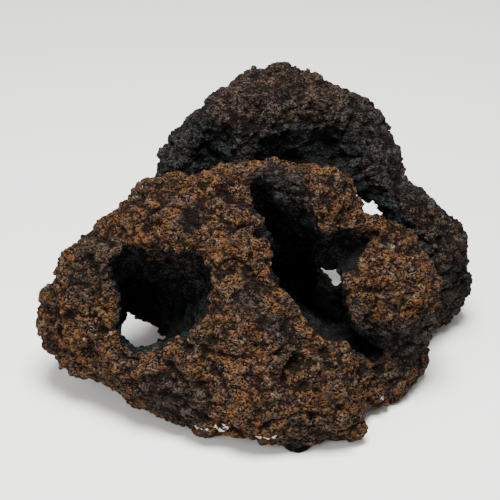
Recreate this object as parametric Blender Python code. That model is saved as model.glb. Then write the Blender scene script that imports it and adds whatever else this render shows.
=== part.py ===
"""Carved lava rock: a free-standing boulder of red scoria with hollows worked right through it.

It is one closed solid, 249 mm wide, 188 mm deep and 155 mm high. A tunnel goes through its left wing,
a slanting slot opens its face, a trench runs behind the face, and a doorway opens its back.
X runs across the face, -Y is the side the face looks to and Z is up. The origin is the middle of the
underside. The shape is drawn in millimetres and made in metres.
"""

import bmesh
import bpy
from mathutils import Matrix, Vector

MM = 0.001

# Fineness of the balls, and of the skins laid over the masses, the hollows and the carved rock.
BALL_SUBDIVISIONS = 3
BLEND_VOXEL = 3.0 * MM
SKIN_VOXEL = 2.5 * MM
MASS_ROUNDING = 12
HOLLOW_ROUNDING = 4
SKIN_ROUNDING = 3

# Swells and lumps of the broken surface: how wide and how high they are.
SWELL_SIZE = 34 * MM
SWELL_HEIGHT = 7 * MM
LUMP_SIZE = 17 * MM
LUMP_HEIGHT = 5 * MM

# The feet are level at this height above the lowest drawn lumps.
FOOT_LEVEL = 1.0 * MM
PLINTH_SIZE = (0.4, 0.4, 0.05)

# Facets that the solid keeps.
TRIANGLES = 9200

RUSTY_BROWN = (0.083, 0.047, 0.029, 1.0)
ROUGHNESS = 0.95

# Balls that two masses share, where one runs into the next.
HUMP_CREST = (19, 62, 132, 24)
ARCH_END = (72, 53, 98, 15)
SHOULDER_FRONT = (110, 25, 58, 17)

# Each mass of the boulder is the hull stretched over a few balls: (x, y, z, radius).
MASSES = {
    "face": [
        (-92, -28, 42, 26),
        (-96, -30, 29, 15),
        (-85, -27, 68, 21),
        (-64, -20, 83, 24),
        (-42, -15, 100, 24),
        (-8, -8, 103, 24),
        (25, -5, 102, 24),
        (-52, -55, 25, 19),
        (-26, -70, 25, 19),
        (5, -78, 24, 20),
        (37, -78, 24, 20),
        (49, -76, 14, 12),
    ],
    "core": [
        (-60, -6, 47, 22),
        (-48, 8, 64, 24),
        (-30, 22, 80, 22),
        (0, 25, 86, 22),
        (22, 22, 74, 16),
        (26, 26, 44, 13),
        (-34, 12, 24, 20),
        (14, 28, 20, 16),
    ],
    "lobe": [
        (27, -8, 106, 18),
        (42, -5, 103, 18),
        (58, -12, 84, 11),
        (38, 0, 78, 15),
        (44, 8, 74, 15),
    ],
    "right_boulder": [
        (73, -15, 77, 20),
        (82, -25, 60, 22),
        (73, -28, 62, 22),
        (79, -28, 40, 20),
        (80, 0, 30, 20),
    ],
    "toe": [
        (40, -60, 18, 18),
        (74, -42, 12, 15),
        (87, -20, 11, 15),
        (70, -10, 18, 18),
    ],
    "sill": [
        (42, 53, 8, 13),
        (66, 53, 7, 13),
        (84, 40, 10, 13),
    ],
    "base": [
        (-20, -40, 18, 18),
        (40, -45, 18, 18),
        (75, -20, 14, 16),
        (95, 30, 12, 18),
        (-20, 50, 18, 20),
        (20, 35, 12, 14),
    ],
    "back_wall": [
        (-34, 62, 20, 22),
        (22, 66, 20, 20),
        (-29, 45, 102, 22),
        (-17, 52, 114, 24),
        (9, 60, 129, 24),
        HUMP_CREST,
    ],
    "arch": [
        (9, 60, 126, 24),
        HUMP_CREST,
        (63, 60, 114, 18),
        ARCH_END,
        (74, 48, 90, 12),
    ],
    "arch_leg": [
        (66, 52, 96, 12),
        ARCH_END,
        (78, 48, 82, 13),
        (92, 30, 66, 14),
    ],
    "right_shoulder": [
        (95, 30, 77, 15),
        SHOULDER_FRONT,
        (100, 45, 58, 18),
        (90, 35, 60, 16),
    ],
    "right_foot": [
        SHOULDER_FRONT,
        (114, 36, 34, 17),
        (115, 38, 16, 16),
        (100, 60, 20, 18),
        (96, 20, 20, 18),
    ],
    "face_bulge": [
        (-14, -63, 58, 14),
        (4, -66, 60, 14),
        (-20, -72, 32, 14),
        (12, -76, 34, 14),
    ],
    "front_foot": [
        (22, -78, 14, 12),
        (25, -86, 4, 8),
    ],
    "left_nub": [
        (-26, -68, 14, 10),
        (-25, -75, 4, 6),
    ],
    "toe_corner": [
        (52, -70, 14, 11),
        (56, -80, 9, 8),
    ],
    "hump_knob": [
        (40, 62, 134, 12),
        (43, 60, 143, 6),
    ],
}

# Balls that two hulls share, where one runs into the next.
TUNNEL_THROAT = (-64, -2, 15, 11)
BACK_DOOR = (49, 45, 26, 6)

# The hollows, as hulls in the same way. Each one takes its shape out of the boulder.
HOLLOWS = {
    "mouth": [
        (-55, -90, 111, 13),
        (-29, -95, 113, 12),
        (-31, -95, 91, 11),
        (-51, -95, 83, 13),
        (-61, -35, 77, 13),
        (-33, -35, 75, 12),
        (-36, -35, 54, 11),
        (-58, -35, 45, 13),
    ],
    "passage_in": [
        (-55, -35, 66, 13),
        (-42, -35, 58, 12),
        (-59, -35, 44, 13),
        TUNNEL_THROAT,
    ],
    "passage_out": [
        TUNNEL_THROAT,
        (-66, 30, 0, 13),
        (-72, 60, -18, 16),
    ],
    "slot_top": [
        (2, -50, 138, 4),
        (6, -50, 134, 4),
        (4, -9, 113, 4),
        (8, -2, 98, 5),
        (10, 5, 84, 6),
    ],
    "slot_dish": [
        (4, -14, 129, 3),
        (20, -14, 129, 3),
        (30, -22, 125, 3),
        (33, -31, 117, 3),
        (6, -32, 116, 4),
        (7, -18, 113, 4),
        (18, -20, 112, 3),
    ],
    "slot_flank": [
        (8, -32, 114, 4),
        (31, -32, 113, 3),
        (34, -34, 104, 3),
        (9, -16, 108, 4),
        (20, -20, 106, 3),
        (14, -5, 92, 5),
        (19, -1, 81, 6),
        (27, -4, 73, 7),
    ],
    "slot_middle": [
        (20, -65, 116, 11),
        (25, -65, 97, 14),
        (20, 8, 56, 9),
        (31, 8, 42, 9),
    ],
    "pocket": [
        (66, -60, 115, 3),
        (50, -60, 102, 8),
        (36, -60, 106, 8),
        (64, -17, 91, 3),
        (46, -15, 76, 7),
        (36, -15, 78, 9),
    ],
    "slot_low": [
        (34, -80, 88, 12),
        (43, -80, 72, 9),
        (41, -35, 72, 8),
        (38, 28, 25, 10),
        (50, 24, 18, 8),
    ],
    "crack": [
        (51, -80, 66, 5),
        (64, -80, 53, 4),
        (55, -30, 35, 4),
        (67, -30, 23, 3),
    ],
    "under_lobe": [
        (41, -30, 67, 7),
        (45, 0, 52, 6),
        BACK_DOOR,
    ],
    "hump_hollow_left": [
        (-18, 27, 129, 11),
        (-20, 27, 108, 13),
    ],
    "hump_hollow_right": [
        (14, 26, 130, 9),
        (48, 31, 124, 9),
        (14, 31, 107, 13),
        (48, 34, 107, 11),
    ],
    "face_dent": [
        (-33, -44, 116, 10),
        (-24, -45, 115, 10),
    ],
    "face_pit": [
        (16, -87, 46, 5),
        (27, -81, 54, 4),
    ],
    "rim_notch": [
        (1, -42, 105, 3),
        (8, -40, 104, 5),
        (10, -18, 90, 5),
    ],
    "shoulder_pit": [
        (-69, -32, 104, 6),
        (-66, -36, 103, 5),
    ],
    "wing_pit": [
        (-89, -60, 43, 7),
        (-84, -60, 38, 5),
    ],
    "side_notch": [
        (122, 8, 38, 6),
        (126, 14, 41, 6),
    ],
    "doorway": [
        BACK_DOOR,
        (62, 42, 46, 11),
        (62, 62, 36, 16),
        (62, 110, 30, 20),
        (60, 110, 10, 16),
        (62, 75, 14, 14),
    ],
    "trench_end": [
        (63, -5, 98, 5),
        (67, 5, 93, 6),
        (68, 40, 72, 8),
        (66, 60, 50, 16),
    ],
}


def hull_over(balls):
    """Returns a bmesh of the convex hull over the balls."""
    hull = bmesh.new()
    for x, y, z, radius in balls:
        place = Matrix.Translation((x, y, z))
        bmesh.ops.create_icosphere(hull, subdivisions=BALL_SUBDIVISIONS, radius=radius, matrix=place)
    bmesh.ops.delete(hull, geom=hull.edges[:], context="EDGES_FACES")
    bmesh.ops.convex_hull(hull, input=hull.verts[:])
    spare = [v for v in hull.verts if not v.link_faces]
    bmesh.ops.delete(hull, geom=spare, context="VERTS")
    bmesh.ops.recalc_face_normals(hull, faces=hull.faces[:])
    return hull


def joined_hulls(name, groups):
    """Returns an object that holds the hull of every group, still overlapping one another."""
    mesh = bpy.data.meshes.new(name)
    whole = bmesh.new()
    for balls in groups.values():
        hull = hull_over(balls)
        hull.to_mesh(mesh)
        hull.free()
        whole.from_mesh(mesh)
    bmesh.ops.scale(whole, vec=(MM, MM, MM), verts=whole.verts[:])
    whole.to_mesh(mesh)
    whole.free()
    obj = bpy.data.objects.new(name, mesh)
    bpy.context.scene.collection.objects.link(obj)
    return obj


def fuse(obj, voxel, smooth_steps):
    """Makes one skin over what the object holds, and rounds the creases where its parts meet."""
    remesh = obj.modifiers.new("fuse", "REMESH")
    remesh.mode = "VOXEL"
    remesh.voxel_size = voxel
    smooth = obj.modifiers.new("round_creases", "SMOOTH")
    smooth.factor = 0.5
    smooth.iterations = smooth_steps


def cut(obj, name, cutter):
    """Takes the hidden cutter's shape out of the object."""
    cutter.hide_render = True
    cutter.display_type = "WIRE"
    boolean = obj.modifiers.new(name, "BOOLEAN")
    boolean.operation = "DIFFERENCE"
    boolean.object = cutter
    boolean.solver = "EXACT"


def roughen(obj, name, kind, size, height):
    """Pushes the skin in and out along its normals by a pattern of the given size and height."""
    pattern = bpy.data.textures.new(name, kind)
    pattern.noise_scale = size
    displace = obj.modifiers.new(name, "DISPLACE")
    displace.texture = pattern
    displace.texture_coords = "LOCAL"
    displace.mid_level = 0.5
    displace.strength = height


def triangle_count(obj):
    """Returns how many triangles the object has after its modifiers."""
    mesh = obj.evaluated_get(bpy.context.evaluated_depsgraph_get()).data
    return sum(len(polygon.vertices) - 2 for polygon in mesh.polygons)


def plinth():
    """Returns the block below the floor level, which cuts the lowest lumps into flat feet."""
    mesh = bpy.data.meshes.new("plinth")
    block = bmesh.new()
    bmesh.ops.create_cube(block, size=1.0)
    bmesh.ops.scale(block, vec=PLINTH_SIZE, verts=block.verts[:])
    bmesh.ops.translate(block, vec=(0, 0, FOOT_LEVEL - PLINTH_SIZE[2] / 2), verts=block.verts[:])
    block.to_mesh(mesh)
    block.free()
    obj = bpy.data.objects.new("plinth", mesh)
    bpy.context.scene.collection.objects.link(obj)
    return obj


def settle(obj):
    """Makes the modifiers' result the object's own mesh, with the middle of its underside at the origin."""
    graph = bpy.context.evaluated_depsgraph_get()
    mesh = bpy.data.meshes.new_from_object(obj.evaluated_get(graph))
    obj.modifiers.clear()
    obj.data = mesh
    low = Vector([min(v.co[axis] for v in mesh.vertices) for axis in range(3)])
    high = Vector([max(v.co[axis] for v in mesh.vertices) for axis in range(3)])
    middle = (low + high) / 2
    mesh.transform(Matrix.Translation((-middle.x, -middle.y, -low.z)))


def scoria():
    """Returns the dull, rusty brown material of the rock."""
    material = bpy.data.materials.new("scoria")
    material.use_nodes = True
    shader = material.node_tree.nodes["Principled BSDF"]
    shader.inputs["Base Color"].default_value = RUSTY_BROWN
    shader.inputs["Roughness"].default_value = ROUGHNESS
    shader.inputs["Metallic"].default_value = 0.0
    return material


def main():
    for old in list(bpy.data.objects):
        bpy.data.objects.remove(old)
    rock = joined_hulls("lava_rock", MASSES)
    fuse(rock, BLEND_VOXEL, MASS_ROUNDING)
    hollows = joined_hulls("hollows", HOLLOWS)
    fuse(hollows, BLEND_VOXEL, HOLLOW_ROUNDING)
    cut(rock, "carve", hollows)
    fuse(rock, SKIN_VOXEL, SKIN_ROUNDING)
    roughen(rock, "swells", "CLOUDS", SWELL_SIZE, SWELL_HEIGHT)
    roughen(rock, "lumps", "VORONOI", LUMP_SIZE, -LUMP_HEIGHT)
    thin = rock.modifiers.new("thin", "DECIMATE")
    thin.ratio = TRIANGLES / triangle_count(rock)
    ground = plinth()
    cut(rock, "level_feet", ground)
    settle(rock)
    for cutter in (hollows, ground):
        bpy.data.objects.remove(cutter)
    rock.data.materials.append(scoria())
    for polygon in rock.data.polygons:
        polygon.use_smooth = True


main()
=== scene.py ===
"""Looks of the carved lava rock: the fine, porous skin of the stone, its colours, the floor and the lights.

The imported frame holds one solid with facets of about 6 mm. The boulder made here takes its place: the same
form with the clumps, gas pits and grains of red scoria cut into a finer skin.
Patterns, dents, patches and the material's sizes are in millimetres. Everything else is in metres, in the
frame's own axes.
"""

import logging
import math
from dataclasses import dataclass, field
from enum import Enum
from typing import ClassVar

import bmesh
import bpy
import numpy as np
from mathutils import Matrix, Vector, noise
from mathutils.bvhtree import BVHTree
from mathutils.kdtree import KDTree


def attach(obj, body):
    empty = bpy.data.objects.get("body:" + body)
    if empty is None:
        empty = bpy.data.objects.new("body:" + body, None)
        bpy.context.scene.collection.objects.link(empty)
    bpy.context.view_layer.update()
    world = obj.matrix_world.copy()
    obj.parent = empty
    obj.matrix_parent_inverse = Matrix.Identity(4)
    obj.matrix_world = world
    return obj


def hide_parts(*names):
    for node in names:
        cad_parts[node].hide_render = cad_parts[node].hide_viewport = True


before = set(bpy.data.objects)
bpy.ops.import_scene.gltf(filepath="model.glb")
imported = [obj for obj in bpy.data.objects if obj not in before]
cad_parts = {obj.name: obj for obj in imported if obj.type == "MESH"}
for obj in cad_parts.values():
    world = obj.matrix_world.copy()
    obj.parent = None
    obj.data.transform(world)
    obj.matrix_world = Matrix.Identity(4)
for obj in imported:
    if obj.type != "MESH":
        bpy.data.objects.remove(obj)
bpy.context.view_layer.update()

MM = 0.001
Socket = bpy.types.NodeSocket
Place = tuple[float, float, float]
Colour = tuple[float, float, float, float]
Stops = tuple[tuple[float, str], ...]
log = logging.getLogger("lava_rock")


def linear(hex_colour: str) -> Colour:
    """Turns an sRGB hex colour into the linear colour that a shader takes.

    Args:
        hex_colour: the colour as six hex digits, with or without a leading hash.

    Returns:
        Red, green, blue and an alpha of 1.
    """
    digits = hex_colour.lstrip("#")
    channels = [int(digits[i:i + 2], 16) / 255 for i in (0, 2, 4)]
    red, green, blue = (c / 12.92 if c <= 0.04045 else ((c + 0.055) / 1.055) ** 2.4 for c in channels)
    return (red, green, blue, 1.0)


def smooth_step(low: float, high: float, value: float) -> float:
    """Eases from 0 at low to 1 at high.

    Args:
        low: where the step starts.
        high: where the step ends.
        value: the number to place on it.

    Returns:
        A number from 0 to 1.
    """
    t = min(1.0, max(0.0, (value - low) / (high - low)))
    return t * t * (3.0 - 2.0 * t)


def add_node(
    tree: bpy.types.NodeTree, kind: str, settings: dict | None = None, links: dict | None = None,
) -> bpy.types.Node:
    """Adds a node with its settings and the links into it.

    Args:
        tree: the material's node tree.
        kind: the node's type name.
        settings: attribute names, or input names or numbers, to the values they get.
        links: input names or numbers to the output sockets that feed them.

    Returns:
        The new node.
    """
    node = tree.nodes.new(kind)
    for name, value in (settings or {}).items():
        if isinstance(name, str) and hasattr(node, name):
            setattr(node, name, value)
        else:
            node.inputs[name].default_value = value
    for name, socket in (links or {}).items():
        tree.links.new(socket, node.inputs[name])
    return node


class Layer(Enum):
    """Ways in which a patch changes the stone's colour, by the name of the skin's attribute."""

    GREY = "grey"
    # Painted shade, tinted grey-teal, laid into hollows.
    PAINTED_GREY_SHADE = "painted_grey_shade"
    # Painted shade, nearly black, laid into throats, lips, pits and deep walls.
    DARK = "dark"
    RESIDUE = "residue"
    OPEN = "open"


class Relief(Enum):
    """Kinds of relief in broken scoria."""

    CLUMPS = "angular clumps with creases between them"
    PITS = "round gas pits in some of the cells"
    CINDER = "uneven cinder crust"


@dataclass(frozen=True)
class Pattern:
    """One pattern of the skin's relief.

    A clump's creases are bent and stand as far below its top as the clump rises, less the sinking. A gas pit
    fills the middle of its cell, and its share of the cells has one.
    """

    bend: ClassVar[float] = 0.3
    bend_detail: ClassVar[float] = 1.9
    crease_width: ClassVar[float] = 0.32
    sinking: ClassVar[float] = 0.8
    pit_floor: ClassVar[float] = 0.12
    pit_rim: ClassVar[float] = 0.48
    choice_scale: ClassVar[float] = 7.31

    kind: Relief
    size: float
    height: float
    share: float = 1.0
    layering: float = 1.0
    offset: Place = (0.0, 0.0, 0.0)

    def at(self, place: Vector) -> float:
        """Gives how far the pattern moves the skin.

        Args:
            place: a point on the skin, in millimetres.

        Returns:
            The move along the skin's normal, in millimetres.
        """
        spot = (place + Vector(self.offset)) / self.size
        spot.z *= self.layering
        if self.kind is Relief.CINDER:
            return self.height * noise.fractal(spot, 1.0, 2.0, 3)
        if self.kind is Relief.CLUMPS:
            spot = spot + self.bend * noise.noise_vector(spot * self.bend_detail)
        distances, points = noise.voronoi(spot)
        if self.kind is Relief.CLUMPS:
            crease = smooth_step(0.0, self.crease_width, distances[1] - distances[0])
            return self.height * (crease - self.sinking)
        if noise.cell(points[0] * self.choice_scale) > self.share:
            return 0.0
        return -self.height * (1.0 - smooth_step(self.pit_floor, self.pit_rim, distances[0]))


@dataclass(frozen=True)
class Dent:
    """One hollow of the skin that is known by its place, or a knob if its depth is negative.

    Its floor is level out to a share of the radius, and its rim is ragged.
    """

    floor_share: ClassVar[float] = 0.35
    raggedness: ClassVar[float] = 0.25
    farthest: ClassVar[float] = 1.5

    middle: Place
    radius: float
    depth: float

    def at(self, place: Vector) -> float:
        """Gives how far the hollow moves the skin.

        Args:
            place: a point on the skin, in millimetres.

        Returns:
            The move along the skin's normal, in millimetres.
        """
        away = (place - Vector(self.middle)).length / self.radius
        if away > self.farthest:
            return 0.0
        ragged = self.raggedness * noise.fractal(place / self.radius, 1.0, 2.0, 2)
        return -self.depth * (1.0 - smooth_step(self.floor_share, 1.0, away + ragged))


@dataclass(frozen=True)
class Patch:
    """A place on the stone where its colour differs, full in its core and ragged at its edge."""

    core_share: ClassVar[float] = 0.55
    raggedness: ClassVar[float] = 0.35
    detail_share: ClassVar[float] = 0.5

    layer: Layer
    middle: Place
    reach: float
    strength: float = 1.0

    def weight(self, place: Vector) -> float:
        """Gives how strongly the patch colours a place.

        Args:
            place: a point on the skin, in millimetres.

        Returns:
            A number from 0 to 1.
        """
        waves = noise.fractal(place / (self.detail_share * self.reach), 1.0, 2.0, 3)
        ragged = self.raggedness * self.reach * waves
        away = (place - Vector(self.middle)).length + ragged
        return self.strength * (1.0 - smooth_step(self.core_share * self.reach, self.reach, away))


@dataclass(frozen=True)
class Waves:
    """A smooth random pattern: its width, how many finer waves lie over it, and how strong those are."""

    size_mm: float
    detail: float
    roughness: float = 0.6

    def settings(self) -> dict[str, float]:
        """Gives the pattern as a noise texture's settings."""
        return {"Scale": 1 / self.size_mm, "Detail": self.detail, "Roughness": self.roughness}


@dataclass(frozen=True)
class Step:
    """A range of numbers, from start to end, and what it is turned into, from low to high."""

    start: float
    end: float
    low: float = 0.0
    high: float = 1.0

    def settings(self) -> dict[str, float]:
        """Gives the step as a map range's settings."""
        return {"From Min": self.start, "From Max": self.end, "To Min": self.low, "To Max": self.high}


@dataclass(frozen=True)
class RedScoria:
    """Red scoria: basalt that gas frothed up as it cooled, broken by hand and left as it broke.

    Nothing polished it, so it is dull all over and sparkles nowhere. The air rusted its iron, which gives
    orange-brown grains, with painted shade in the gaps between them. Sheltered places kept the grey of the
    fresh stone, and painted shade makes the deep ones nearly black. Water left a few pale flecks of mineral
    at the foot.
    """

    roughness: float = 0.92
    ior: float = 1.5
    specular: float = 0.1
    # The stone's layers lie flat, so every pattern is this much finer in height than in width.
    layering: float = 1.5

    # Most of the real grains are under 1 mm, which is less than two dots of the picture, so they and the gaps
    # between them, which get painted shade, are drawn coarser.
    grain_mm: float = 1.2
    grain_bend: Waves = Waves(1.2, 1.0, 0.5)
    grain_shift_mm: float = 0.8
    hue_mm: float = 2.4
    hue_strength: float = 0.14
    gap_waves: Waves = Waves(1.3, 4.0)
    gap_step: Step = Step(0.515, 0.465)
    gap_change: Waves = Waves(6.0, 3.0)
    gap_change_step: Step = Step(0.3, 0.7, -0.07, 0.07)
    bump_waves: Waves = Waves(1.3, 2.0)
    bump_mm: float = 3.0

    # Flakes of the crust, 7 mm wide, with cracks of painted shade round some of them.
    flake_mm: float = 7.0
    flake_waves: Waves = Waves(7.0, 2.0)
    flake_step: Step = Step(0.35, 0.65)
    flake_strength: float = 0.3
    crack_bend: Waves = Waves(4.0, 3.0, 0.7)
    crack_shift_mm: float = 6.0
    crack_step: Step = Step(0.12, 0.04)
    crack_places: Waves = Waves(11.0, 2.0)
    crack_places_step: Step = Step(0.48, 0.56, 0.0, 0.9)
    # Low places of the relief get painted shade.
    pit_step: Step = Step(0.36, 0.16, 0.0, 0.9)
    # A coarse grain stands proud, so this much less of it gets the painted shade of the gaps.
    crumb_clearing: float = -0.55

    # Where the rust is dusty, where it is missing, and how the openness to the air decides it. The deep step
    # paints shade into the least open places.
    dusty_waves: Waves = Waves(9.0, 2.0)
    dusty_step: Step = Step(0.46, 0.6, 0.0, 0.9)
    blotch_waves: Waves = Waves(34.0, 3.0)
    blotch_step: Step = Step(0.52, 0.72, 0.0, 0.55)
    sheltered_step: Step = Step(0.74, 0.5)
    deep_step: Step = Step(0.54, 0.3)
    crust_waves: Waves = Waves(5.0, 4.0)
    crust_step: Step = Step(0.44, 0.5)

    # The painted shade's tint, which multiplies the colour of the least open places and of the grey shade
    # patches.
    painted_shade_tint: str = "#bce7f9"
    # Near black: the painted shade of the gaps, cracks, pits and dark patches.
    gap_shade_colour: str = "#070403"
    crust_colour: str = "#cfcac0"
    rust: Stops = (
        (0.0, "#201310"),
        (1.0, "#8a7760"),
        (0.2, "#3d2c20"),
        (0.42, "#563923"),
        (0.62, "#694322"),
        (0.8, "#5b4a2c"),
        (0.9, "#744b38"),
    )
    dusty: Stops = (
        (0.0, "#1c1512"),
        (1.0, "#837566"),
        (0.25, "#3e2e26"),
        (0.5, "#524033"),
        (0.7, "#644b3f"),
        (0.85, "#524937"),
    )
    basalt: Stops = (
        (0.0, "#0f0f0f"),
        (1.0, "#575451"),
        (0.3, "#232221"),
        (0.55, "#32302e"),
        (0.75, "#3b3632"),
        (0.88, "#3a3a39"),
    )

    def make(self) -> bpy.types.Material:
        """Builds the material.

        Returns:
            The finished material, which reads Object coordinates and the skin's attributes.
        """
        material = bpy.data.materials.new("red_scoria")
        material.use_nodes = True
        tree = material.node_tree
        coordinates = add_node(tree, "ShaderNodeTexCoord")
        per_metre = (1 / MM, 1 / MM, self.layering / MM)
        in_mm = add_node(
            tree, "ShaderNodeVectorMath", {"operation": "MULTIPLY", 1: per_metre},
            {0: coordinates.outputs["Object"]},
        ).outputs[0]
        skin = {
            name: add_node(tree, "ShaderNodeAttribute", {"attribute_name": name}).outputs["Fac"]
            for name in ("exposure", "relief", "grey", "painted_grey_shade", "dark", "residue", "crumb", "tone")
        }
        stone = self.weathered(tree, in_mm, skin)
        gapped = add_node(
            tree, "ShaderNodeMix", {"data_type": "RGBA", 7: linear(self.gap_shade_colour)},
            {0: self.gaps(tree, in_mm, skin), 6: stone},
        ).outputs[2]
        crusted = add_node(
            tree, "ShaderNodeMix", {"data_type": "RGBA", 7: linear(self.crust_colour)},
            {0: self.crust(tree, in_mm, skin), 6: gapped},
        ).outputs[2]
        heights = add_node(
            tree, "ShaderNodeTexNoise", self.bump_waves.settings(), {"Vector": in_mm}
        ).outputs["Fac"]
        bump = add_node(
            tree, "ShaderNodeBump", {"Strength": 1.0, "Distance": self.bump_mm * MM}, {"Height": heights}
        )
        shader = tree.nodes["Principled BSDF"]
        tree.links.new(crusted, shader.inputs["Base Color"])
        tree.links.new(bump.outputs["Normal"], shader.inputs["Normal"])
        shader.inputs["Roughness"].default_value = self.roughness
        shader.inputs["IOR"].default_value = self.ior
        shader.inputs["Specular IOR Level"].default_value = self.specular
        return material

    def grain_numbers(self, tree: bpy.types.NodeTree, in_mm: Socket, skin: dict[str, Socket]) -> Socket:
        """Gives each grain of the stone a random number, which the flake it belongs to shifts.

        Args:
            tree: the material's node tree.
            in_mm: the socket of the place in millimetres.
            skin: the sockets of the skin's attributes by name.

        Returns:
            The number's socket.
        """
        bent = add_node(
            tree, "ShaderNodeTexNoise", self.grain_bend.settings(), {"Vector": in_mm}
        ).outputs["Color"]
        shifted = add_node(
            tree, "ShaderNodeVectorMath", {"operation": "MULTIPLY_ADD", 1: (self.grain_shift_mm,) * 3},
            {0: bent, 2: in_mm},
        ).outputs[0]
        cells = add_node(tree, "ShaderNodeTexVoronoi", {"Scale": 1 / self.grain_mm}, {"Vector": shifted})
        drawn = add_node(tree, "ShaderNodeSeparateColor", links={0: cells.outputs["Color"]}).outputs[0]
        grains = add_node(
            tree, "ShaderNodeMix", {"data_type": "FLOAT"}, {0: skin["crumb"], 2: drawn, 3: skin["tone"]}
        ).outputs[0]
        waves = add_node(
            tree, "ShaderNodeTexNoise", self.flake_waves.settings(), {"Vector": in_mm}
        ).outputs["Fac"]
        flakes = add_node(tree, "ShaderNodeMapRange", self.flake_step.settings(), {"Value": waves}).outputs[0]
        return add_node(
            tree, "ShaderNodeMix", {"data_type": "FLOAT", 0: self.flake_strength}, {2: grains, 3: flakes}
        ).outputs[0]

    def weathered(self, tree: bpy.types.NodeTree, in_mm: Socket, skin: dict[str, Socket]) -> Socket:
        """Colours the grains by how the weather reached them: rust, dusty rust or fresh grey, and paints
        shade into the least open places and the grey shade patches.

        Args:
            tree: the material's node tree.
            in_mm: the socket of the place in millimetres.
            skin: the sockets of the skin's attributes by name.

        Returns:
            The colour's socket.
        """
        grains = self.grain_numbers(tree, in_mm, skin)
        tones = []
        for stops in (self.rust, self.dusty, self.basalt):
            ramp = add_node(tree, "ShaderNodeValToRGB", links={"Fac": grains})
            for index, (place, colour) in enumerate(stops):
                elements = ramp.color_ramp.elements
                element = elements[index] if index < 2 else elements.new(place)
                element.position = place
                element.color = linear(colour)
            tones.append(ramp.outputs["Color"])
        shares = []
        for waves, step in ((self.dusty_waves, self.dusty_step), (self.blotch_waves, self.blotch_step)):
            value = add_node(tree, "ShaderNodeTexNoise", waves.settings(), {"Vector": in_mm}).outputs["Fac"]
            shares.append(add_node(tree, "ShaderNodeMapRange", step.settings(), {"Value": value}).outputs[0])
        rusted = add_node(
            tree, "ShaderNodeMix", {"data_type": "RGBA"}, {0: shares[0], 6: tones[0], 7: tones[1]}
        ).outputs[2]
        hues = add_node(
            tree, "ShaderNodeTexVoronoi", {"Scale": 1 / self.hue_mm}, {"Vector": in_mm}
        ).outputs["Color"]
        varied = add_node(
            tree, "ShaderNodeMix", {"data_type": "RGBA", "blend_type": "SOFT_LIGHT", 0: self.hue_strength},
            {6: rusted, 7: hues},
        ).outputs[2]
        sheltered, deep = (
            add_node(tree, "ShaderNodeMapRange", step.settings(), {"Value": skin["exposure"]}).outputs[0]
            for step in (self.sheltered_step, self.deep_step)
        )
        grey = skin["grey"]
        for share in (shares[1], sheltered):
            grey = add_node(tree, "ShaderNodeMath", {"operation": "MAXIMUM"}, {0: grey, 1: share}).outputs[0]
        mixed = add_node(
            tree, "ShaderNodeMix", {"data_type": "RGBA"}, {0: grey, 6: varied, 7: tones[2]}
        ).outputs[2]
        # Painted shade: the least open places and the grey shade patches are multiplied by the tint.
        painted_shade_share = add_node(
            tree, "ShaderNodeMath", {"operation": "MAXIMUM"}, {0: deep, 1: skin["painted_grey_shade"]}
        ).outputs[0]
        return add_node(
            tree, "ShaderNodeMix", {"data_type": "RGBA", "blend_type": "MULTIPLY", 7: linear(self.painted_shade_tint)},
            {0: painted_shade_share, 6: mixed},
        ).outputs[2]

    def gaps(self, tree: bpy.types.NodeTree, in_mm: Socket, skin: dict[str, Socket]) -> Socket:
        """Marks where shade is painted: the gaps between grains and flakes, the bottoms of pits and the
        painted shade patches.

        Args:
            tree: the material's node tree.
            in_mm: the socket of the place in millimetres.
            skin: the sockets of the skin's attributes by name.

        Returns:
            The socket of how much painted shade a place gets, from 0 to 1.
        """
        fine, change, where = (
            add_node(tree, "ShaderNodeTexNoise", waves.settings(), {"Vector": in_mm}).outputs["Fac"]
            for waves in (self.gap_waves, self.gap_change, self.crack_places)
        )
        change = add_node(tree, "ShaderNodeMapRange", self.gap_change_step.settings(), {"Value": change})
        holes = add_node(tree, "ShaderNodeMath", {"operation": "ADD"}, {0: fine, 1: change.outputs[0]})
        bent = add_node(
            tree, "ShaderNodeTexNoise", self.crack_bend.settings(), {"Vector": in_mm}
        ).outputs["Color"]
        shifted = add_node(
            tree, "ShaderNodeVectorMath", {"operation": "MULTIPLY_ADD", 1: (self.crack_shift_mm,) * 3},
            {0: bent, 2: in_mm},
        ).outputs[0]
        edges = add_node(
            tree, "ShaderNodeTexVoronoi", {"feature": "DISTANCE_TO_EDGE", "Scale": 1 / self.flake_mm},
            {"Vector": shifted},
        ).outputs["Distance"]
        between_grains, cracks, some, pits = (
            add_node(tree, "ShaderNodeMapRange", step.settings(), {"Value": value}).outputs[0]
            for step, value in (
                (self.gap_step, holes.outputs[0]),
                (self.crack_step, edges),
                (self.crack_places_step, where),
                (self.pit_step, skin["relief"]),
            )
        )
        between_flakes = add_node(tree, "ShaderNodeMath", {"operation": "MULTIPLY"}, {0: cracks, 1: some})
        marked = between_grains
        for share in (between_flakes.outputs[0], pits):
            marked = add_node(
                tree, "ShaderNodeMath", {"operation": "MAXIMUM"}, {0: marked, 1: share}
            ).outputs[0]
        cleared = add_node(
            tree, "ShaderNodeMath",
            {"operation": "MULTIPLY_ADD", "use_clamp": True, 1: self.crumb_clearing, 2: 1.0},
            {0: skin["crumb"]},
        ).outputs[0]
        left = add_node(tree, "ShaderNodeMath", {"operation": "MULTIPLY"}, {0: marked, 1: cleared}).outputs[0]
        return add_node(
            tree, "ShaderNodeMath", {"operation": "MAXIMUM"}, {0: left, 1: skin["dark"]}
        ).outputs[0]

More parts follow.
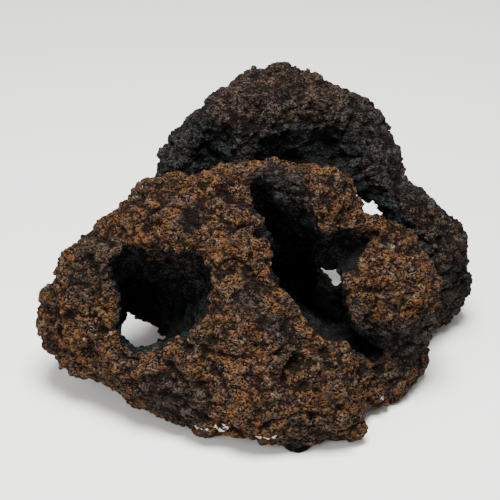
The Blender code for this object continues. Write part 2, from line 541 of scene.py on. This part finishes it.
    def crust(self, tree: bpy.types.NodeTree, in_mm: Socket, skin: dict[str, Socket]) -> Socket:
        """Breaks the mineral residue up into thin, ragged flecks.

        Args:
            tree: the material's node tree.
            in_mm: the socket of the place in millimetres.
            skin: the sockets of the skin's attributes by name.

        Returns:
            The socket of how much residue shows, from 0 to 1.
        """
        ragged = add_node(
            tree, "ShaderNodeTexNoise", self.crust_waves.settings(), {"Vector": in_mm}
        ).outputs["Fac"]
        both = add_node(
            tree, "ShaderNodeMath", {"operation": "MULTIPLY"}, {0: ragged, 1: skin["residue"]}
        ).outputs[0]
        return add_node(tree, "ShaderNodeMapRange", self.crust_step.settings(), {"Value": both}).outputs[0]


@dataclass
class Boulder:
    """The stone itself, with its fine skin.

    The dents make pits and clumps that the photograph shows one by one, and their hollows get painted shade
    as the stone's own relief does. The swells shape lips and outlines, and get no painted shade.
    """

    node: str = "lava_rock"
    merge_reach: float = 0.001 * MM
    skin_voxel: float = 1.1 * MM
    rounding: int = 5
    rounding_strength: float = 0.5
    triangles: int = 196_000
    swelling: float = 0.1
    relief_span: float = 6.0
    clump_seed: int = 7
    # The underside keeps level where it rests: down-turned skin this near the floor moves less and less.
    down_turned: float = -0.5
    foot_start: float = 0.3
    foot_reach: float = 3.0
    # How open a place lies is measured on a coarser skin, by rays that count more the more they point up.
    coarse_voxel: float = 3.0 * MM
    exposure_rays: int = 40
    exposure_reach: float = 90.0 * MM
    ray_start_mm: float = 1.5
    flattest_ray: float = 0.05
    sky_weight: float = 0.6
    exposure_points: int = 4
    exposure_blend: float = 0.5 * MM
    # The hump and the back are grey, less so above the top's uneven edge.
    hump_grey: float = 0.95
    hump_front: tuple[float, float] = (16.0, 34.0)
    top_rust: float = 0.3
    top_edge: tuple[float, float] = (122.0, 142.0)
    top_unevenness: float = 10.0
    top_waves: float = 18.0
    patterns: list[Pattern] = field(default_factory=lambda: [
        Pattern(Relief.CLUMPS, 18.0, 2.0, layering=1.4),
        Pattern(Relief.CLUMPS, 7.5, 1.0, layering=1.6, offset=(31.0, 7.0, 3.0)),
        Pattern(Relief.PITS, 9.0, 2.2, share=0.1, offset=(3.0, 17.0, 41.0)),
        Pattern(Relief.PITS, 4.2, 1.0, share=0.25, offset=(13.0, 5.0, 23.0)),
        Pattern(Relief.CINDER, 3.4, 0.8, layering=1.4),
    ])
    dents: list[Dent] = field(default_factory=lambda: [
        # Pits on the face and the wing.
        Dent((-38.0, -32.0, 110.0), 9.0, 0.9),
        Dent((16.0, -74.5, 48.0), 4.8, 3.8),
        Dent((19.0, -73.0, 52.0), 3.4, 2.6),
        Dent((3.0, -64.0, 67.0), 2.8, 2.2),
        Dent((4.0, -70.0, 61.0), 3.0, 2.4),
        Dent((-76.0, -27.0, 101.0), 2.8, 2.2),
        Dent((-88.0, -49.0, 62.0), 2.6, 2.2),
        Dent((-95.0, -52.0, 41.0), 3.4, 2.6),
        Dent((-71.0, -68.0, 30.0), 2.8, 2.2),
        Dent((-7.0, -43.0, 95.0), 2.4, 1.8),
        Dent((-28.0, -81.0, 32.0), 2.8, 2.2),
        # A crease down the middle of the face.
        Dent((0.5, -67.0, 72.0), 3.2, 2.0),
        Dent((0.0, -71.0, 66.5), 3.0, 2.4),
        Dent((-1.0, -74.0, 60.0), 3.0, 2.2),
        # A pit low on the right side.
        Dent((112.0, 19.0, 37.0), 4.5, 3.2),
        # A tooth on the slot's left lip, with a notch under it, and the tail of the slot under the boulder.
        Dent((-2.0, -27.0, 104.0), 5.5, -2.4),
        Dent((-4.0, -23.0, 96.0), 4.5, 2.6),
        Dent((60.5, -39.0, 28.5), 6.5, 4.5),
        Dent((62.5, -45.0, 26.0), 5.0, 3.5),
    ])
    swells: list[Dent] = field(default_factory=lambda: [
        # Lips of the three see-through holes.
        Dent((42.0, -10.0, 69.0), 10.0, -3.2),
        Dent((36.0, 52.0, 29.0), 12.0, 2.6),
        Dent((33.0, -4.0, 67.0), 7.0, -2.0),
        Dent((39.0, -3.0, 65.0), 7.0, -3.0),
        Dent((64.0, 46.0, 81.0), 12.0, -2.2),
        Dent((71.0, 40.0, 78.0), 9.0, -2.0),
        Dent((62.0, -10.0, 97.0), 8.0, -1.6),
        Dent((55.0, -1.0, 102.0), 8.0, 4.4),
        Dent((54.0, 43.0, 86.0), 9.0, -2.6),
        Dent((-66.0, 11.0, 23.0), 14.0, -2.0),
        Dent((-72.0, 8.0, 27.0), 7.0, -2.0),
        Dent((-67.0, -59.0, 50.0), 16.0, 3.6),
        Dent((-76.0, -41.0, 46.0), 9.0, 1.2),
        Dent((-56.0, -29.0, 34.0), 9.0, 2.0),
        # The slot's lower lip.
        Dent((24.0, -49.0, 59.0), 10.0, 3.4),
        Dent((30.0, -45.0, 51.0), 11.0, 3.8),
        Dent((38.0, -45.0, 46.0), 10.0, 3.4),
        Dent((45.0, -42.0, 41.0), 8.0, 2.4),
        # Swells and flats of the outline.
        Dent((-109.0, -25.0, 78.0), 13.0, -1.8),
        Dent((10.0, 70.0, 153.0), 9.0, 0.9),
        Dent((-37.0, 56.0, 131.0), 12.0, -1.4),
        Dent((75.0, 55.0, 109.0), 14.0, -1.7),
        Dent((108.0, 32.0, 72.0), 12.0, -1.4),
        Dent((118.0, 27.0, 43.0), 11.0, 1.5),
        Dent((119.0, 34.0, 22.0), 13.0, -1.5),
        Dent((-82.0, -14.0, 103.0), 32.0, -1.2),
        Dent((22.0, 70.0, 151.0), 15.0, 1.2),
        Dent((34.0, 65.0, 146.0), 15.0, 2.6),
        Dent((-26.0, 62.0, 138.0), 16.0, -1.3),
        Dent((-50.0, 52.0, 118.0), 13.0, -1.2),
        Dent((-57.0, 42.0, 97.0), 9.0, -2.4),
        Dent((61.0, 67.0, 130.0), 13.0, -1.4),
        Dent((90.0, 38.0, 90.0), 12.0, -2.4),
        Dent((118.0, 22.0, 54.0), 13.0, 2.6),
        Dent((-117.0, -22.0, 67.0), 16.0, 4.4),
        Dent((83.0, 46.0, 97.0), 15.0, 3.3),
        Dent((-56.0, 46.0, 102.0), 15.0, -3.2),
        Dent((90.0, -22.0, 14.0), 16.0, -2.0),
        Dent((115.0, 29.0, 67.0), 13.0, -1.9),
        Dent((47.0, 54.0, 134.0), 14.0, 1.4),
    ])
    patches: list[Patch] = field(default_factory=lambda: [
        # Where the fresh grey stone shows.
        Patch(Layer.GREY, (-88.0, -36.0, 87.0), 22.0, 0.6),
        Patch(Layer.GREY, (-45.0, -72.0, 24.0), 26.0, 0.6),
        Patch(Layer.GREY, (9.0, -68.0, 67.0), 11.0, 0.7),
        Patch(Layer.GREY, (-6.0, -60.0, 79.0), 13.0, 0.6),
        Patch(Layer.GREY, (48.0, -42.0, 54.0), 14.0, 0.7),
        Patch(Layer.GREY, (54.0, -26.0, 32.0), 17.0),
        Patch(Layer.GREY, (69.0, -44.0, 43.0), 19.0, 0.8),
        Patch(Layer.GREY, (18.0, -90.0, 6.0), 10.0),
        Patch(Layer.GREY, (9.0, -12.0, 111.0), 22.0),
        Patch(Layer.GREY, (44.0, -8.0, 82.0), 17.0),
        Patch(Layer.GREY, (86.0, -30.0, 34.0), 26.0, 0.8),
        Patch(Layer.GREY, (-38.0, -32.0, 110.0), 10.0, 0.6),
        Patch(Layer.GREY, (98.0, 20.0, 55.0), 45.0, 0.7),
        # Painted shade in the hollows of the hump and the right side, which makes them darker than the rest.
        Patch(Layer.PAINTED_GREY_SHADE, (-28.0, 44.0, 118.0), 20.0, 0.8),
        Patch(Layer.PAINTED_GREY_SHADE, (22.0, 48.0, 112.0), 24.0, 0.8),
        Patch(Layer.PAINTED_GREY_SHADE, (45.0, 50.0, 108.0), 18.0, 0.7),
        Patch(Layer.PAINTED_GREY_SHADE, (108.0, 22.0, 34.0), 28.0, 0.6),
        # Painted shade on the slot's rim, in the largest pit, in the throats of the tunnel and the slot, and
        # on their lips.
        Patch(Layer.DARK, (8.0, -11.0, 114.0), 17.0, 0.3),
        Patch(Layer.DARK, (16.0, -75.0, 48.0), 5.5, 0.8),
        Patch(Layer.DARK, (-30.0, -48.0, 62.0), 8.0, 0.8),
        Patch(Layer.DARK, (-33.0, -44.0, 55.0), 8.0, 0.8),
        Patch(Layer.DARK, (-38.0, -54.0, 55.0), 8.0, 0.8),
        Patch(Layer.DARK, (-47.0, -55.0, 51.0), 6.5, 0.8),
        Patch(Layer.DARK, (-66.0, 11.0, 23.0), 16.0, 0.8),
        Patch(Layer.DARK, (24.0, -42.0, 56.0), 9.0, 0.8),
        Patch(Layer.DARK, (29.0, -38.0, 48.0), 9.0, 0.8),
        Patch(Layer.DARK, (36.0, -36.0, 42.0), 9.0, 0.8),
        Patch(Layer.DARK, (43.0, -36.0, 38.0), 8.0, 0.8),
        # The rusted lower lip of the tunnel's mouth.
        Patch(Layer.OPEN, (-73.0, -57.0, 49.0), 7.0),
        Patch(Layer.OPEN, (-68.0, -60.0, 48.0), 9.0),
        Patch(Layer.OPEN, (-62.0, -63.0, 49.0), 9.0),
        Patch(Layer.OPEN, (-56.0, -66.0, 51.0), 7.5),
        # Painted shade in the pocket beside the slot, in the hollows between the face and the hump, and on
        # the deep inner walls.
        Patch(Layer.DARK, (46.0, -15.0, 73.0), 8.0, 0.7),
        Patch(Layer.DARK, (49.0, -9.0, 76.0), 7.5, 0.8),
        Patch(Layer.DARK, (38.0, 49.0, 100.0), 14.0, 0.5),
        Patch(Layer.DARK, (50.0, 46.0, 91.0), 13.0, 0.5),
        Patch(Layer.DARK, (60.0, -39.0, 28.0), 7.0, 0.8),
        Patch(Layer.DARK, (38.0, -10.0, 32.0), 12.0, 0.75),
        Patch(Layer.DARK, (46.0, -24.0, 33.0), 9.0, 0.7),
        Patch(Layer.DARK, (-54.0, -23.0, 32.0), 11.0, 0.75),
        Patch(Layer.DARK, (-45.0, -26.0, 39.0), 9.0, 0.7),
        Patch(Layer.DARK, (38.0, 42.0, 18.0), 30.0, 0.9),
        Patch(Layer.DARK, (28.0, 4.0, 32.0), 20.0, 0.8),
        # Pale flecks at the front foot.
        Patch(Layer.RESIDUE, (-32.0, -80.0, 11.0), 5.5),
        Patch(Layer.RESIDUE, (-22.0, -86.0, 15.0), 6.5),
        Patch(Layer.RESIDUE, (-3.0, -89.0, 12.0), 6.0),
        Patch(Layer.RESIDUE, (6.0, -91.0, 11.0), 6.0),
        Patch(Layer.RESIDUE, (65.0, -55.0, 13.0), 3.5),
    ])

    def build(self, material: bpy.types.Material) -> bpy.types.Object:
        """Makes the stone and hands it to the frame.

        Args:
            material: the stone's finish.

        Returns:
            The finished object.
        """
        merged = self.merged_solid()
        skin = self.fine_skin(merged)
        self.mark_exposure(skin, merged)
        self.carve(skin)
        stone = self.thinned(skin)
        stone.data.materials.clear()
        stone.data.materials.append(material)
        for polygon in stone.data.polygons:
            polygon.use_smooth = True
        bpy.data.objects.remove(merged)
        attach(stone, "root")
        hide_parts(self.node)
        return stone

    def merged_solid(self) -> bpy.types.Object:
        """Copies the frame's solid with its loose triangles merged.

        Returns:
            A scratch object, which build() removes.
        """
        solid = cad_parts[self.node]
        shape = bmesh.new()
        shape.from_mesh(solid.data)
        bmesh.ops.remove_doubles(shape, verts=shape.verts[:], dist=self.merge_reach)
        mesh = bpy.data.meshes.new("merged_solid")
        shape.to_mesh(mesh)
        shape.free()
        merged = bpy.data.objects.new("merged_solid", mesh)
        bpy.context.scene.collection.objects.link(merged)
        return merged

    def applied(self, source: bpy.types.Object, name: str) -> bpy.types.Object:
        """Makes an object from what another looks like with its modifiers.

        Args:
            source: the object with the modifiers.
            name: the new object's name.

        Returns:
            The new object, with no modifiers.
        """
        graph = bpy.context.evaluated_depsgraph_get()
        mesh = bpy.data.meshes.new_from_object(source.evaluated_get(graph))
        made = bpy.data.objects.new(name, mesh)
        bpy.context.scene.collection.objects.link(made)
        return made

    def fine_skin(self, merged: bpy.types.Object) -> bpy.types.Object:
        """Lays an even, fine skin over the solid and rounds its facets.

        Args:
            merged: the merged copy of the solid.

        Returns:
            The skin, an object with an even mesh.
        """
        remesh = merged.modifiers.new("even_skin", "REMESH")
        remesh.mode = "VOXEL"
        remesh.voxel_size = self.skin_voxel
        rounded = merged.modifiers.new("rounded_facets", "SMOOTH")
        rounded.factor = self.rounding_strength
        rounded.iterations = self.rounding
        skin = self.applied(merged, "skin")
        merged.modifiers.clear()
        return skin

    def mark_exposure(self, skin: bpy.types.Object, merged: bpy.types.Object) -> None:
        """Stores how open each place of the skin lies, which the rust and the painted shade of the hollows
        follow.

        Args:
            skin: the fine skin.
            merged: the merged copy of the solid, whose points the rays start from.
        """
        remesh = merged.modifiers.new("coarse_skin", "REMESH")
        remesh.mode = "VOXEL"
        remesh.voxel_size = self.coarse_voxel
        coarse = self.applied(merged, "coarse_skin")
        graph = bpy.context.evaluated_depsgraph_get()
        tree = BVHTree.FromObject(coarse, graph)
        golden = math.pi * (3.0 - math.sqrt(5.0))
        rays = []
        for index in range(self.exposure_rays):
            up = 1.0 - (2 * index + 1) / self.exposure_rays
            side = math.sqrt(1.0 - up * up)
            rays.append(Vector((side * math.cos(golden * index), side * math.sin(golden * index), up)))
        lookup = KDTree(len(coarse.data.vertices))
        openness = []
        for vertex in coarse.data.vertices:
            start = vertex.co + vertex.normal * self.ray_start_mm * MM
            clear = total = 0.0
            for ray in rays:
                slant = ray.dot(vertex.normal)
                if slant <= self.flattest_ray:
                    continue
                share = slant * (1.0 + self.sky_weight * ray.z)
                total += share
                if tree.ray_cast(start, ray, self.exposure_reach)[0] is None:
                    clear += share
            openness.append(clear / total if total else 0.0)
            lookup.insert(vertex.co, vertex.index)
        lookup.balance()
        values = np.empty(len(skin.data.vertices), dtype=np.float32)
        for vertex in skin.data.vertices:
            near = lookup.find_n(vertex.co, self.exposure_points)
            weights = [1.0 / (distance + self.exposure_blend) for _, _, distance in near]
            mixed = sum(w * openness[index] for w, (_, index, _) in zip(weights, near))
            values[vertex.index] = mixed / sum(weights)
        skin.data.attributes.new("exposure", "FLOAT", "POINT").data.foreach_set("value", values)
        merged.modifiers.clear()
        bpy.data.objects.remove(coarse)

    def carve(self, skin: bpy.types.Object) -> None:
        """Moves the skin in and out by the patterns and stores its height and its patches.

        A patch of the layer OPEN counts as open to the air, so it rusts as the faces do.

        Args:
            skin: the fine skin.
        """
        noise.seed_set(self.clump_seed)
        mesh = skin.data
        count = len(mesh.vertices)
        heights = np.empty(count, dtype=np.float32)
        layers = {layer: np.zeros(count, dtype=np.float32) for layer in Layer}
        patches = [(patch, layers[patch.layer]) for patch in self.patches]
        places = [vertex.co.copy() for vertex in mesh.vertices]
        normals = [vertex.normal.copy() for vertex in mesh.vertices]
        for index, place in enumerate(places):
            in_mm = place / MM
            fine = self.swelling + sum(pattern.at(in_mm) for pattern in self.patterns)
            fine += sum(dent.at(in_mm) for dent in self.dents)
            move = fine + sum(swell.at(in_mm) for swell in self.swells)
            if normals[index].z < self.down_turned:
                move *= smooth_step(self.foot_start, self.foot_reach, in_mm.z)
            heights[index] = fine
            moved = place + normals[index] * move * MM
            moved.z = max(0.0, moved.z)
            mesh.vertices[index].co = moved
            for patch, weights in patches:
                weight = patch.weight(in_mm)
                if weight > weights[index]:
                    weights[index] = weight
        # The height sets where painted shade goes into low places and pits.
        relief = np.clip(0.5 + heights / self.relief_span, 0.0, 1.0)
        mesh.attributes.new("relief", "FLOAT", "POINT").data.foreach_set("value", relief)
        hump = np.array([self.hump_greyness(p / MM) for p in places], dtype=np.float32)
        layers[Layer.GREY] = np.maximum(layers[Layer.GREY], hump)
        exposure = np.empty(count, dtype=np.float32)
        mesh.attributes["exposure"].data.foreach_get("value", exposure)
        mesh.attributes["exposure"].data.foreach_set("value", np.maximum(exposure, layers.pop(Layer.OPEN)))
        for layer, values in layers.items():
            mesh.attributes.new(layer.value, "FLOAT", "POINT").data.foreach_set("value", values)
        mesh.update()

    def hump_greyness(self, place: Vector) -> float:
        """Gives how grey the hump and the back are, which rusted less than the front but more on top.

        Args:
            place: a point on the skin, in millimetres.

        Returns:
            A number from 0 to 1.
        """
        height = place.z + self.top_unevenness * noise.fractal(place / self.top_waves, 1.0, 2.0, 3)
        behind = self.hump_grey * smooth_step(*self.hump_front, place.y)
        return behind * (1.0 - self.top_rust * smooth_step(*self.top_edge, height))

    def thinned(self, skin: bpy.types.Object) -> bpy.types.Object:
        """Thins the carved skin to the triangles that it may have, flat places first.

        Args:
            skin: the carved skin, which is removed.

        Returns:
            The stone's object.
        """
        triangles = sum(len(polygon.vertices) - 2 for polygon in skin.data.polygons)
        thin = skin.modifiers.new("thinned", "DECIMATE")
        thin.ratio = min(1.0, self.triangles / triangles)
        thin.use_collapse_triangulate = True
        stone = self.applied(skin, "boulder")
        bpy.data.objects.remove(skin)
        log.info("boulder: %d triangles before thinning, %d after", triangles, len(stone.data.polygons))
        return stone


@dataclass
class Grains:
    """The coarser grains of the skin: small angular crumbs, half sunk in the stone and one with it."""

    name: str = "grains"
    most: int = 9_900
    tries: int = 12
    spacing: float = 2.4 * MM
    # Half the width of the smallest and the largest, and how rare the large ones are.
    small: float = 0.6 * MM
    large: float = 1.6 * MM
    rarity: float = 2.5
    flatness: float = 0.5
    raggedness: float = 0.35
    sinking: float = 0.08
    # Grains keep off sheltered places, creases and the floor. Each pair is where they start and how soon they
    # are at their usual number.
    openness: tuple[float, float] = (0.35, 0.3)
    height: tuple[float, float] = (0.38, 0.1)
    fewest: float = 0.02
    floor_gap: float = 3 * MM
    seed: int = 11

    def build(self, stone: bpy.types.Object, material: bpy.types.Material) -> bpy.types.Object:
        """Strews the grains over the open faces of the stone.

        Args:
            stone: the finished stone.
            material: the stone's finish.

        Returns:
            The one piece that holds all the grains.
        """
        chance = np.random.default_rng(self.seed)
        spots, normals, values = self.spots(stone, chance)
        order = np.argsort(spots[:, 0])
        kept = np.sort(chance.choice(order, min(self.most, len(order)), False))
        mesh = self.joined(spots[kept], normals[kept], {k: v[kept] for k, v in values.items()}, chance)
        piece = bpy.data.objects.new(self.name, mesh)
        bpy.context.scene.collection.objects.link(piece)
        mesh.materials.append(material)
        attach(piece, "root")
        return piece

    def spots(
        self, stone: bpy.types.Object, chance: np.random.Generator,
    ) -> tuple[np.ndarray, np.ndarray, dict[str, np.ndarray]]:
        """Picks where the grains sit: on open, raised places of the skin, about evenly apart.

        Args:
            stone: the finished stone.
            chance: the seeded source of random numbers.

        Returns:
            The places, the skin's normals there, and the skin's stored values there by name.
        """
        mesh = stone.data
        count = len(mesh.vertices)
        places = np.empty(count * 3)
        mesh.vertices.foreach_get("co", places)
        normals = np.empty(count * 3)
        mesh.vertices.foreach_get("normal", normals)
        places, normals = places.reshape(-1, 3), normals.reshape(-1, 3)
        values = {}
        for name in ("exposure", "relief", "grey", "painted_grey_shade", "dark"):
            values[name] = np.empty(count, dtype=np.float32)
            mesh.attributes[name].data.foreach_get("value", values[name])
        corners = np.empty(len(mesh.polygons) * 3, dtype=np.int32)
        mesh.loops.foreach_get("vertex_index", corners)
        corners = corners.reshape(-1, 3)
        a, b, c = (places[corners[:, k]] for k in range(3))
        area = np.linalg.norm(np.cross(b - a, c - a), axis=1)
        openness = values["exposure"][corners].mean(axis=1)
        height = values["relief"][corners].mean(axis=1)
        middle = (a + b + c) / 3
        wanted = area
        for value, (start, span) in ((openness, self.openness), (height, self.height)):
            wanted = wanted * np.clip((value - start) / span, self.fewest, 1.0)
        wanted[middle[:, 2] < self.floor_gap] = 0.0
        picked = chance.choice(len(corners), size=self.tries * self.most, p=wanted / wanted.sum())
        weights = chance.dirichlet((1.0, 1.0, 1.0), size=len(picked))
        near = corners[picked]
        spots = (places[near] * weights[:, :, None]).sum(axis=1)
        cells = np.floor(spots / self.spacing).astype(np.int64)
        first = np.sort(np.unique(cells, axis=0, return_index=True)[1])
        leaning = (normals[near] * weights[:, :, None]).sum(axis=1)[first]
        leaning /= np.linalg.norm(leaning, axis=1, keepdims=True)
        return spots[first], leaning, {k: (v[near] * weights).sum(axis=1)[first] for k, v in values.items()}

    def joined(
        self, spots: np.ndarray, normals: np.ndarray, values: dict[str, np.ndarray],
        chance: np.random.Generator,
    ) -> bpy.types.Mesh:
        """Makes one mesh of many grains.

        Args:
            spots: where the grains sit.
            normals: the skin's normals there.
            values: the skin's stored values there by name.
            chance: the seeded source of random numbers.

        Returns:
            The mesh, in which each grain is a closed body of 20 faces.
        """
        shape = bmesh.new()
        bmesh.ops.create_icosphere(shape, subdivisions=1, radius=1.0)
        base = np.array([vertex.co for vertex in shape.verts])
        faces = np.array([[vertex.index for vertex in face.verts] for face in shape.faces])
        shape.free()
        count = len(spots)
        bodies = np.repeat(base[None, :, :], count, axis=0)
        bodies *= 1.0 + self.raggedness * chance.uniform(-1.0, 1.0, (count, len(base), 1))
        turns = np.linalg.qr(chance.normal(size=(count, 3, 3)))[0]
        turns *= np.sign(np.linalg.det(turns))[:, None, None]
        bodies = np.einsum("nij,nkj->nki", turns, bodies)
        along = np.einsum("nki,ni->nk", bodies, normals)
        bodies -= (1.0 - self.flatness) * along[:, :, None] * normals[:, None, :]
        sizes = self.small + (self.large - self.small) * chance.random(count) ** self.rarity
        sunk = spots - normals * sizes[:, None] * self.sinking
        bodies = bodies * sizes[:, None, None] + sunk[:, None, :]
        bodies[:, :, 2] = np.maximum(bodies[:, :, 2], 0.0)

        mesh = bpy.data.meshes.new(self.name)
        corners = (faces[None, :, :] + (np.arange(count) * len(base))[:, None, None]).ravel()
        mesh.vertices.add(count * len(base))
        mesh.vertices.foreach_set("co", bodies.ravel())
        mesh.loops.add(len(corners))
        mesh.loops.foreach_set("vertex_index", corners)
        mesh.polygons.add(len(corners) // 3)
        mesh.polygons.foreach_set("loop_start", np.arange(0, len(corners), 3))
        mesh.update(calc_edges=True)
        values = dict(values, crumb=np.ones(count), tone=chance.random(count))
        for layer, numbers in values.items():
            spread = np.repeat(numbers, len(base)).astype(np.float32)
            mesh.attributes.new(layer, "FLOAT", "POINT").data.foreach_set("value", spread)
        return mesh


@dataclass(frozen=True)
class PalePaper:
    """Background paper: pressed smooth from bleached pulp, so it is matt, even and just off white."""

    colour: str = "#f2f1ee"
    roughness: float = 0.9

    def make(self) -> bpy.types.Material:
        """Builds the material.

        Returns:
            The finished material.
        """
        material = bpy.data.materials.new("pale_paper")
        material.use_nodes = True
        shader = material.node_tree.nodes["Principled BSDF"]
        shader.inputs["Base Color"].default_value = linear(self.colour)
        shader.inputs["Roughness"].default_value = self.roughness
        return material


@dataclass
class Studio:
    """The floor, the lights and the camera."""

    floor_side: float = 6.0
    key_place: Place = (0.0, -0.25, 1.15)
    key_side: float = 0.5
    key_power: float = 42.0
    fill_place: Place = (-0.8, -1.0, 0.7)
    fill_side: float = 1.0
    fill_power: float = 14.0
    world_colour: str = "#ffffff"
    world_strength: float = 0.52
    focal_mm: float = 100.0
    film_mm: float = 36.0
    camera_place: Place = (-0.0067, -0.6615, 0.455)
    camera_target: Place = (-0.0067, 0.0054, 0.07)

    def build(self) -> None:
        """Sets up everything around the stone."""
        self.floor()
        self.light("key", self.key_place, self.key_side, self.key_power)
        self.light("fill", self.fill_place, self.fill_side, self.fill_power)
        self.surroundings()
        self.camera()

    def floor(self) -> None:
        """Lays the plain pale floor."""
        sheet = bmesh.new()
        bmesh.ops.create_grid(sheet, x_segments=1, y_segments=1, size=self.floor_side / 2)
        mesh = bpy.data.meshes.new("floor")
        sheet.to_mesh(mesh)
        sheet.free()
        floor = bpy.data.objects.new("floor", mesh)
        bpy.context.scene.collection.objects.link(floor)
        mesh.materials.append(PalePaper().make())

    def aimed(self, name: str, place: Place, data: bpy.types.ID) -> bpy.types.Object:
        """Puts a light or a camera in its place, turned to the stone.

        Args:
            name: the object's name.
            place: where it stands.
            data: the light or the camera itself.

        Returns:
            The object that holds it.
        """
        holder = bpy.data.objects.new(name, data)
        holder.location = place
        aim = Vector(self.camera_target) - Vector(place)
        holder.rotation_euler = aim.to_track_quat("-Z", "Y").to_euler()
        bpy.context.scene.collection.objects.link(holder)
        return holder

    def light(self, name: str, place: Place, side: float, power: float) -> None:
        """Adds a square soft light aimed at the stone.

        Args:
            name: the light's name.
            place: where it hangs.
            side: its side.
            power: its power in watts.
        """
        lamp = bpy.data.lights.new(name, "AREA")
        lamp.size = side
        lamp.energy = power
        self.aimed(name, place, lamp)

    def surroundings(self) -> None:
        """Gives the room its pale, even light."""
        world = bpy.data.worlds.new("room")
        world.use_nodes = True
        background = world.node_tree.nodes["Background"]
        background.inputs["Color"].default_value = linear(self.world_colour)
        background.inputs["Strength"].default_value = self.world_strength
        bpy.context.scene.world = world

    def camera(self) -> None:
        """Places the camera where the photograph was taken from, 30 degrees above the level."""
        lens = bpy.data.cameras.new("camera")
        lens.lens = self.focal_mm
        lens.sensor_width = self.film_mm
        bpy.context.scene.camera = self.aimed("camera", self.camera_place, lens)


def main() -> None:
    """Builds the stone and its surroundings and logs the triangle counts."""
    logging.basicConfig(level=logging.INFO, format="%(name)s: %(message)s")
    scoria = RedScoria().make()
    stone = Boulder().build(scoria)
    log.info("%s: %d triangles", stone.name, len(stone.data.polygons))
    grains = Grains().build(stone, scoria)
    log.info("%s: %d triangles", grains.name, len(grains.data.polygons))
    Studio().build()
    log.info("floor, lights and camera set")


if __name__ == "__main__":
    main()
